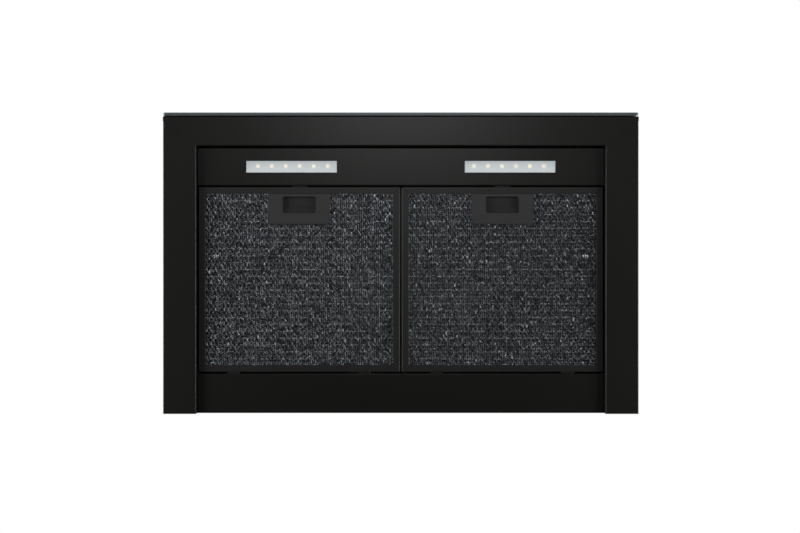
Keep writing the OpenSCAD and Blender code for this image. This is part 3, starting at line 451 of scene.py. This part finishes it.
def ring(x, z, radius):
    """A printed ring on the glass."""
    bpy.ops.object.select_all(action="DESELECT")
    bpy.ops.mesh.primitive_circle_add(
        vertices=32, radius=radius, fill_type="NGON", location=(x, glass_front, z),
        rotation=(pi / 2, 0, 0),
    )
    piece = bpy.context.object
    settle(piece)
    edit(piece, faces=lambda face: True)
    bpy.ops.mesh.inset(thickness=ink_wide)
    bpy.ops.mesh.delete(type="FACE")
    bpy.ops.mesh.select_all(action="SELECT")
    bpy.ops.mesh.extrude_region_move(TRANSFORM_OT_translate={"value": (0, -ink_thick, 0)})
    bpy.ops.mesh.select_all(action="SELECT")
    bpy.ops.mesh.normals_make_consistent(inside=False)
    edit_done()
    return piece


glass_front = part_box("front_glass")[0].y
power_x, minus_x, plus_x = -0.080, -0.048, -0.016
timer_x, fan_x, lamp_x = 0.016, 0.048, 0.080
key_z = -0.120
dial_r = 0.0034
power_up = 0.0024
sign_long = 0.0066
minute_up = 0.0009
minute_long = 0.0024
hour_out = 0.0008
hour_long = 0.0022
bulb_r = 0.0020
blade_long = 0.0070
ray_long = 0.0014
symbols = [
    ring(power_x, key_z, dial_r), bar(power_x, key_z + power_up, dial_r, pi / 2),
    bar(minus_x, key_z, sign_long, 0),
    bar(plus_x, key_z, sign_long, 0), bar(plus_x, key_z, sign_long, pi / 2),
    ring(timer_x, key_z, dial_r), bar(timer_x, key_z + minute_up, minute_long, pi / 2),
    bar(timer_x + hour_out, key_z, hour_long, 0),
    ring(lamp_x, key_z, bulb_r),
]
for blade in range(3):
    symbols.append(bar(fan_x, key_z, blade_long, blade * pi / 3))
for ray in range(8):
    turn = ray * pi / 4
    out_x = lamp_x + dial_r * cos(turn)
    out_z = key_z + dial_r * sin(turn)
    symbols.append(bar(out_x, out_z, ray_long, -turn))
marks = joined(symbols, "touch_symbols")
finish_piece(marks, "root", "black_glass", printed_symbol())


def keep_node(node, finish):
    """The CAD node is already the right shape: it only gets its finish."""
    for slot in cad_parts[node].material_slots:
        slot.material = finish


keep_node("glass_tape", foam_tape())


# ---- Touch board ----
# A glass-fibre circuit board with sprung pads behind the glass, in a white moulded tray that
# clips to the inside of the fascia.
def circuit_board():
    finish = Finish("circuit_board")
    tracks = finish.cells(260, "Distance", (1, 1, 0.2))
    track = tracks > 0.42
    finish.vary(
        Base_Color=finish.between((0.012, 0.075, 0.035), (0.03, 0.14, 0.06), track),
        Roughness=0.35 + 0.1 * track,
    )
    finish.bump(track, 0.00003)
    return finish.material


def white_plastic():
    finish = Finish("white_plastic")
    mould = finish.noise(1800)
    cloud = finish.noise(12)
    finish.vary(
        Base_Color=finish.between((0.62, 0.62, 0.59), (0.72, 0.72, 0.69), cloud),
        Roughness=0.42 + 0.12 * mould,
    )
    finish.bump(mould, 0.00003)
    return finish.material


board_green = circuit_board()
moulded_white = white_plastic()
tray_edge = 0.0004
keep_node("touch_board", board_green)
tray = merged_copy("touch_board_tray", "moulded_touch_board_tray")
round_edges(tray, tray_edge)
finish_piece(tray, "root", "white_plastic", moulded_white, "touch_board_tray")


# ---- Lamps ----
# Two strip lamps: a frosted polycarbonate window in the lamp panel, a white moulded housing
# above it, and a white board with six warm phosphor LEDs that show through as soft dots.
def frosted_lens():
    finish = Finish("frosted_lens", IOR=1.58, Emission_Strength=0.17)
    frost = finish.noise(1600)
    # Painted shade: the lens is darker towards its front edge, where the recess shades it, and
    # paler towards the rear; its glow takes the same shading.
    depth = (finish.axis("Y") - lens_low) / (lens_high - lens_low)
    white = finish.between((0.66, 0.71, 0.74), (0.93, 0.98, 1.0), depth)
    finish.vary(
        Base_Color=white,
        Emission_Color=white,
        Roughness=0.45 + 0.15 * frost,
        Alpha=0.54 + 0.03 * frost,
    )
    finish.bump(frost, 0.00002)
    return finish.material


def led_board_white():
    finish = Finish("led_board_white")
    ink = finish.noise(500)
    finish.vary(
        Base_Color=finish.between((0.74, 0.74, 0.72), (0.80, 0.80, 0.78), ink),
        Roughness=0.5 + 0.1 * ink,
    )
    return finish.material


def warm_phosphor():
    finish = Finish("warm_phosphor", Emission_Strength=1.9)
    grain = finish.noise(1500)
    crown = (board_low - finish.axis("Z")) / dome_h + 0.1 * grain
    warm = finish.between((0.30, 0.30, 0.29), (1.0, 0.78, 0.38), crown)
    finish.vary(Base_Color=warm, Emission_Color=warm, Roughness=0.4 + 0.2 * grain)
    return finish.material


lens_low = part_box("lamp_lens_left")[0].y
lens_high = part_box("lamp_lens_left")[1].y
lens_finish = frosted_lens()
led_white = led_board_white()
lens_edge = 0.0004
housing_edge = 0.0003
board_corner = 0.001
board_thick = 0.0012
led_count = 6
led_pitch = 0.0226
dome_r = 0.0034
dome_h = 0.0016
board_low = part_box("led_board_left")[1].z - board_thick
phosphor = warm_phosphor()
for side, sign in (("left", -1), ("right", 1)):
    lens = merged_copy("lamp_lens_" + side, "frosted_lens_" + side)
    round_edges(lens, lens_edge, 3)
    finish_piece(lens, "root", "frosted_lens", lens_finish, "lamp_lens_" + side)

    housing = merged_copy("lamp_housing_" + side, "moulded_lamp_housing_" + side)
    round_edges(housing, housing_edge)
    finish_piece(housing, "root", "white_plastic", moulded_white, "lamp_housing_" + side)

    low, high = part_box("led_board_" + side)
    middle = (low + high) / 2
    board = block("led_strip_" + side, (low.x, low.y, board_low), (high.x, high.y, high.z))
    edit(board, edges=lambda edge: runs_along(edge, 2))
    bpy.ops.mesh.bevel(offset=board_corner, segments=3)
    edit_done()
    finish_piece(board, "root", "led_board_white", led_white, "led_board_" + side)
    domes = []
    for number in range(led_count):
        dome_x = middle.x + (number - (led_count - 1) / 2) * led_pitch
        bpy.ops.object.select_all(action="DESELECT")
        bpy.ops.mesh.primitive_uv_sphere_add(
            segments=20, ring_count=10, radius=dome_r,
            location=(dome_x, middle.y, board_low), scale=(1, 1, dome_h / dome_r),
        )
        dome = bpy.context.object
        settle(dome)
        edit(dome, faces=lambda face: True)
        bpy.ops.mesh.bisect(
            plane_co=(0, 0, board_low), plane_no=(0, 0, 1), use_fill=True, clear_outer=True
        )
        edit_done()
        domes.append(dome)
    leds = joined(domes, "led_domes_" + side)
    finish_piece(leds, "root", "led_board_white", phosphor)


# ---- Filters ----
# Two frames rolled from dark aluminium with mitred corners, each holding four layers of
# expanded aluminium mesh. Each filter turns down about two tabs in the rear rail.
def frame_aluminium():
    finish = Finish("filter_frame_aluminium")
    brushed = finish.noise(700, 3, (0.15, 1, 1))
    cloud = finish.noise(14)
    finish.vary(
        Base_Color=finish.between((0.016, 0.0156, 0.015), (0.024, 0.0235, 0.0225), cloud),
        Metallic=0.25 + 0.2 * brushed,
        Roughness=0.38 + 0.14 * brushed,
    )
    finish.bump(brushed, 0.00002)
    return finish.material


def mesh_aluminium():
    finish = Finish("filter_mesh_aluminium")
    row_pitch, bond_band = 0.0055, 0.0009
    line_pitch, line_band = 0.0017, 0.0008
    # Each small cell gets a random tone, which is the mesh's own, and a random pick for painted
    # glints.
    tone_and_glint_cells = finish.cells(560, "Color", (1, 0.42, 1))
    tone = finish.channel(tone_and_glint_cells, 0)
    spark = finish.channel(tone_and_glint_cells, 1)
    across = finish.axis("X")
    along = finish.axis("Y")
    bond_glint_row = along.back_and_forth(row_pitch) < bond_band
    # Painted light and shade: narrow stripes along the mesh are made several times brighter,
    # and the gaps between them stay dark.
    painted_strand_light = across.back_and_forth(line_pitch) < line_band
    shade = (0.45 + 0.9 * finish.noise(90, 2, (1, 0.7, 1))) * (0.30 + 1.15 * painted_strand_light)
    # Painted glints: bright dots in rows across the bonds, plus a few scattered ones, pushed
    # towards near white.
    bright = bond_glint_row * (spark > 0.74) + (spark > 0.975)
    share = 0.52 * tone ** 2 * shade + bright
    finish.vary(
        Base_Color=finish.between((0.030, 0.035, 0.043), (0.92, 0.96, 1.0), share),
        Metallic=0.55 + 0.25 * tone,
        Roughness=0.30 + 0.2 * tone,
    )
    return finish.material


def strand(start, end, wide, thick, turn):
    """One flat three-sided strand of expanded metal, tapered to its end and given a turn."""
    taper = 0.8
    start, end = Vector(start), Vector(end)
    span = end - start
    bpy.ops.object.select_all(action="DESELECT")
    bpy.ops.mesh.primitive_cylinder_add(
        vertices=3, radius=wide / 2, depth=span.length, end_fill_type="NOTHING"
    )
    piece = bpy.context.object
    piece.scale = (1, thick / wide, 1)
    settle(piece)
    edit(piece, edges=lambda edge: edge.verts[0].co.z > 0 and edge.verts[1].co.z > 0)
    bpy.ops.transform.resize(value=(taper, taper, 1))
    edit_done()
    piece.rotation_euler = (0, 0, turn)
    settle(piece)
    piece.rotation_euler = span.to_track_quat("Z", "Y").to_euler()
    piece.location = (start + end) / 2
    settle(piece)
    return piece


def expanded_layer(low, high, height, shift, seed):
    """A sheet of expanded mesh between two corners at one height, in long staggered cells."""
    cell_w = 0.0068
    cell_d = 0.011
    bond = 0.0021
    bond_wide = 0.0022
    strand_wide = 0.0014
    foil = 0.00026
    lean = 35
    fall = 0.0003
    crumple = 0.00026
    columns = int((high.x - low.x) / cell_w) + 3
    rows = int((high.y - low.y) / cell_d) + 3
    x0 = low.x - cell_w + shift[0]
    y0 = low.y - cell_d + shift[1]
    x1 = x0 + cell_w / 2
    y1 = y0 + cell_d / 2
    strands = [
        strand((x0, y0 - bond, height), (x0, y0 + bond, height), bond_wide, foil, 0),
        strand((x1, y1 - bond, height), (x1, y1 + bond, height), bond_wide, foil, 0),
    ]
    for side in (-1, 1):
        beside = x1 + side * (x1 - x0)
        for start, end in (
            ((beside, y0 + bond), (x1, y1 - bond)),
            ((x1, y1 + bond), (beside, y0 + cell_d - bond)),
        ):
            strands.append(
                strand(
                    (*start, height - fall), (*end, height + fall), strand_wide, foil,
                    radians(side * lean),
                )
            )
    layer = joined(strands, "expanded_layer")
    for count, step in ((columns, (cell_w, 0, 0)), (rows, (0, cell_d, 0))):
        apply_modifier(
            layer, "ARRAY", count=count, use_relative_offset=False, use_constant_offset=True,
            constant_offset_displace=step,
        )
    edit(layer, faces=lambda face: True)
    bpy.ops.transform.vertex_random(offset=crumple, uniform=0.0, normal=0.0, seed=seed)
    for point, normal in (
        (low, (-1, 0, 0)), (low, (0, -1, 0)), (high, (1, 0, 0)), (high, (0, 1, 0)),
    ):
        bpy.ops.mesh.select_all(action="SELECT")
        bpy.ops.mesh.bisect(plane_co=point, plane_no=normal, clear_outer=True)
    edit_done()
    return layer


def cut_out(layer, low, high):
    """Removes the faces of a layer whose middle lies between two corners."""
    def inside(face):
        centre = face.calc_center_median()
        return low.x < centre.x < high.x and low.y < centre.y < high.y

    edit(layer, faces=inside)
    bpy.ops.mesh.delete(type="FACE")
    edit_done()


frame_finish = frame_aluminium()
mesh_finish = mesh_aluminium()
rail_edge = 0.0005
mesh_margin = 0.0017
inset = Vector((mesh_margin, mesh_margin, 0))
sheet_gap = 0.0004
layer_shift = ((0, 0), (0.0003, 0.0037), (0.0014, 0.0071), (0.0021, 0.0019))
for side in ("left", "right"):
    body = "filter_" + side
    rails = merged_copy("filter_frame_" + side, "rolled_frame_" + side)
    round_edges(rails, rail_edge)
    finish_piece(rails, body, "filter_frame_aluminium", frame_finish, "filter_frame_" + side)

    low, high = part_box("filter_mesh_" + side)
    latch_low, latch_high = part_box("latch_body_" + side)
    layers = []
    for number, shift in enumerate(layer_shift):
        depth = (high.z - low.z - 2 * sheet_gap) * number / (len(layer_shift) - 1)
        height = low.z + sheet_gap + depth
        layer = expanded_layer(low + inset, high - inset, height, shift, number + 1)
        cut_out(layer, latch_low, latch_high)
        layers.append(layer)
    mesh = joined(layers, "expanded_mesh_" + side)
    finish_piece(mesh, body, "filter_mesh_aluminium", mesh_finish, "filter_mesh_" + side)


# ---- Latches ----
# A black moulded bezel clipped into each filter's front rail, a slider with a finger step that
# shows through its window, and two small coil springs that press the slider forwards.
def black_plastic():
    finish = Finish("black_plastic")
    mould = finish.noise(1100, 3)
    cloud = finish.noise(30)
    finish.vary(
        Base_Color=finish.between((0.021, 0.021, 0.021), (0.028, 0.028, 0.028), cloud),
        Roughness=0.42 + 0.2 * mould,
    )
    finish.bump(mould, 0.00006)
    return finish.material


def bright_steel():
    finish = Finish("bright_steel")
    turned = finish.noise(900, 3, (0.2, 1, 1))
    finish.vary(
        Base_Color=finish.between((0.46, 0.47, 0.48), (0.60, 0.61, 0.62), turned),
        Metallic=0.95 + 0.05 * turned,
        Roughness=0.22 + 0.14 * turned,
    )
    finish.bump(turned, 0.00001)
    return finish.material


# A duller copy of the black plastic for the slider. Its base colour is also darker than the
# bezel's, as painted shade for its place deep in the window.
def dull_shaded_black_plastic():
    finish = Finish("dull_shaded_black_plastic", Specular_IOR_Level=0.3)
    mould = finish.noise(1400, 3)
    finish.vary(
        Base_Color=finish.between((0.015, 0.015, 0.015), (0.023, 0.023, 0.023), mould),
        Roughness=0.55 + 0.2 * mould,
    )
    finish.bump(mould, 0.00005)
    return finish.material


moulded_black = black_plastic()
dull_shaded_black = dull_shaded_black_plastic()
steel = bright_steel()
bezel_edge = 0.0005
slider_edge = 0.0003
for side in ("left", "right"):
    bezel = merged_copy("latch_body_" + side, "latch_bezel_" + side)
    round_edges(bezel, bezel_edge, 3)
    finish_piece(bezel, "filter_" + side, "black_plastic", moulded_black, "latch_body_" + side)
    slider = merged_copy("latch_slider_" + side, "latch_finger_slide_" + side)
    round_edges(slider, slider_edge, 3)
    # The slider takes the darker copy of the plastic: painted shade from the window around it.
    finish_piece(slider, "latch_" + side, "black_plastic", dull_shaded_black, "latch_slider_" + side)

    # The springs shorten as the slider comes back towards them; here they are finished and
    # given a mesh of their own.
    springs = merged_copy("latch_springs_" + side, "coil_springs_" + side)
    finish_piece(springs, "filter_" + side, "bright_steel", steel, "latch_springs_" + side)
    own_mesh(springs)


# ---- Duct collar and dampers ----
# A spun galvanised collar on a rubber gasket, four screws, and two half-round flaps that turn
# on one steel rod across the collar.
def galvanised():
    finish = Finish("galvanised")
    spangle = finish.cells(120, "Color")
    grey = finish.channel(spangle, 0)
    fine = finish.noise(400)
    finish.vary(
        Base_Color=finish.between((0.36, 0.38, 0.40), (0.52, 0.54, 0.56), grey),
        Metallic=0.85 + 0.1 * fine,
        Roughness=0.32 + 0.16 * grey,
    )
    finish.bump(fine, 0.00002)
    return finish.material


def zinc_screw():
    finish = Finish("zinc_screw")
    bath = finish.noise(700)
    finish.vary(
        Base_Color=finish.between((0.50, 0.51, 0.52), (0.66, 0.66, 0.64), bath),
        Metallic=0.95 + 0.05 * bath,
        Roughness=0.26 + 0.16 * bath,
    )
    return finish.material


zinc_sheet = galvanised()
zinc_plated = zinc_screw()
collar_edge = 0.0002
for node, body, slot, finish in (
    ("duct_collar", "root", "galvanised", zinc_sheet),
    ("damper_flap_front", "flap_front", "galvanised", zinc_sheet),
    ("damper_flap_rear", "flap_rear", "galvanised", zinc_sheet),
    ("rear_vent_cover", "root", "galvanised", zinc_sheet),
    ("collar_screws", "root", "zinc_screw", zinc_plated),
    ("panel_screws", "root", "zinc_screw", zinc_plated),
    ("blower_screws", "root", "zinc_screw", zinc_plated),
):
    part = merged_copy(node, "finished_" + node)
    round_edges(part, collar_edge)
    finish_piece(part, body, slot, finish, node)
keep_node("damper_rod", steel)
keep_node("collar_gasket", foam_tape())


# ---- Blower ----
# A squirrel-cage wheel in a galvanised scroll that hangs from a plate under the top, driven by
# a capacitor-run motor held by a band with three legs.
def motor_iron():
    finish = Finish("motor_iron")
    lamination = finish.add(
        "ShaderNodeTexWave", {"bands_direction": "X"}, {"Vector": finish.place, "Scale": 400}, 1
    )
    finish.vary(
        Base_Color=finish.between((0.10, 0.105, 0.11), (0.22, 0.225, 0.23), lamination),
        Metallic=0.7 + 0.2 * lamination,
        Roughness=0.4 + 0.1 * lamination,
    )
    finish.bump(lamination, 0.00005)
    return finish.material


def copper_wire():
    finish = Finish("copper_wire")
    turns = finish.add(
        "ShaderNodeTexWave", {"wave_type": "RINGS", "rings_direction": "X"},
        {"Vector": finish.place, "Scale": 500}, 1,
    )
    finish.vary(
        Base_Color=finish.between((0.25, 0.08, 0.03), (0.55, 0.20, 0.09), turns),
        Metallic=0.7 + 0.2 * turns,
        Roughness=0.3 + 0.1 * turns,
    )
    finish.bump(turns, 0.0001)
    return finish.material


blower_edge = 0.0003
for node, slot, finish in (
    ("blower_mount_plate", "galvanised", zinc_sheet),
    ("blower_scroll", "galvanised", zinc_sheet),
    ("scroll_plate_left", "galvanised", zinc_sheet),
    ("scroll_plate_right", "galvanised", zinc_sheet),
    ("motor_bracket", "galvanised", zinc_sheet),
    ("motor_case", "galvanised", zinc_sheet),
    ("motor_end_cap", "galvanised", zinc_sheet),
    ("capacitor_clip", "galvanised", zinc_sheet),
    ("run_capacitor", "white_plastic", moulded_white),
):
    part = merged_copy(node, "finished_" + node)
    round_edges(part, blower_edge)
    finish_piece(part, "root", slot, finish, node)
iron = motor_iron()
for node, finish in (
    ("blower_wheel", zinc_sheet), ("motor_shaft", steel), ("motor_bearings", steel),
    ("motor_rotor", iron), ("motor_stator", iron), ("motor_windings", copper_wire()),
):
    keep_node(node, finish)


# ---- Electrical boxes and leads ----
# A galvanised box for the house cable with its terminal block, a white control box with its
# board, a rubber bushing in the top, and sheathed leads clipped round the shell.
def lead_sheath():
    finish = Finish("lead_sheath")
    skin = finish.noise(800)
    finish.vary(
        Base_Color=finish.between((0.56, 0.56, 0.54), (0.66, 0.66, 0.64), skin),
        Roughness=0.45 + 0.15 * skin,
    )
    finish.bump(skin, 0.00003)
    return finish.material


box_edge = 0.0004
for node, slot, finish in (
    ("wiring_box", "galvanised", zinc_sheet),
    ("wiring_box_cover", "galvanised", zinc_sheet),
    ("control_box", "white_plastic", moulded_white),
    ("terminal_block", "white_plastic", moulded_white),
    ("cable_bushing", "black_plastic", moulded_black),
):
    part = merged_copy(node, "finished_" + node)
    round_edges(part, box_edge)
    finish_piece(part, "root", slot, finish, node)
keep_node("control_board", board_green)
keep_node("wiring_harness", lead_sheath())
